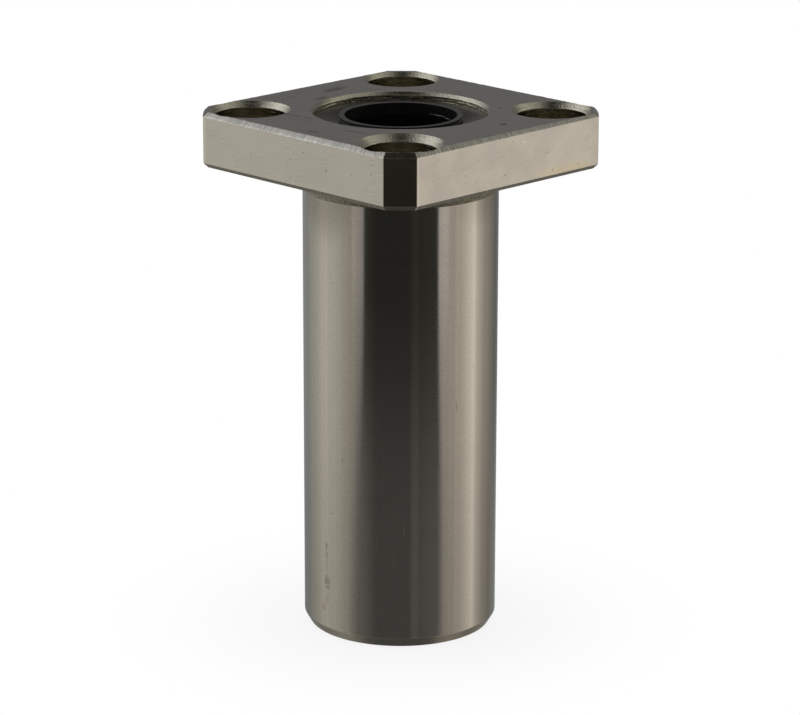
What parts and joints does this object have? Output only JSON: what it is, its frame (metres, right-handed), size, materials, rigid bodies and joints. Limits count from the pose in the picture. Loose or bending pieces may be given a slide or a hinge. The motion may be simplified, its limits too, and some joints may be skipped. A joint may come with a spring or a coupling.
{
  "type": "square flange linear ball bearing",
  "caption": "Long linear ball bearing for a round shaft: a ground steel barrel with a square flange, counterbored screw holes, rubber end seals, and ball cages inside.",
  "frame": {"origin": "centre of the tail face of the barrel, on the shaft axis", "axes": "+Z along the shaft towards the flange, X and Y square to the sides of the flange"},
  "size_m": [0.032, 0.032, 0.057],
  "materials": {
    "ground_steel": "ground barrel, milled flange, thinly oiled",
    "seal_rubber": "moulded, satin",
    "cage_plastic": "moulded",
    "ball_steel": "polished"
  },
  "bodies": {
    "root": {"flanged_sleeve": "ground_steel", "end_seal_flange": "seal_rubber", "end_seal_tail": "seal_rubber", "retainer_lower": "cage_plastic", "retainer_upper": "cage_plastic", "ball_circuit_lower_1": "ball_steel", "ball_circuit_lower_2": "ball_steel", "ball_circuit_lower_3": "ball_steel", "ball_circuit_lower_4": "ball_steel", "ball_circuit_upper_1": "ball_steel", "ball_circuit_upper_2": "ball_steel", "ball_circuit_upper_3": "ball_steel", "ball_circuit_upper_4": "ball_steel"}
  },
  "joints": []
}
